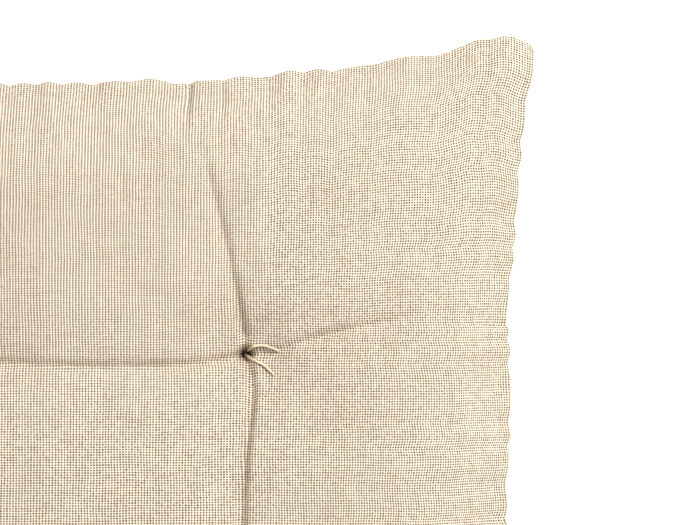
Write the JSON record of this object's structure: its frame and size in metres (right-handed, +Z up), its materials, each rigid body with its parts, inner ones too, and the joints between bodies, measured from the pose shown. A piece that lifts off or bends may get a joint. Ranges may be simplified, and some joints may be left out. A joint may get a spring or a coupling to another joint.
{
  "type": "tufted seat pad",
  "caption": "Square knife-edge chair seat pad in coarse natural plain weave, filled with fibre and drawn in by a square of twine tufts tied on top.",
  "frame": {"origin": "under the middle of the pad, on the plane that its underside rests on", "axes": "+Z up through the pad towards the side that the twine is knotted on, +Y towards the back of the chair, +X to the right as seen from the front"},
  "size_m": [0.3988, 0.3988, 0.046],
  "materials": {
    "cover_cloth": "matt",
    "fibre": "matt",
    "sewing_thread": "matt",
    "twine": "matt"
  },
  "bodies": {
    "root": {"cover_upper_panel": "cover_cloth", "cover_lower_panel": "cover_cloth", "seam_thread": "sewing_thread", "closing_stitches": "sewing_thread", "fibre_layer_upper": "fibre", "fibre_layer_middle": "fibre", "fibre_layer_lower": "fibre", "tuft_tie_rear_right": "twine", "tuft_tie_rear_left": "twine", "tuft_tie_front_right": "twine", "tuft_tie_front_left": "twine"}
  },
  "joints": []
}
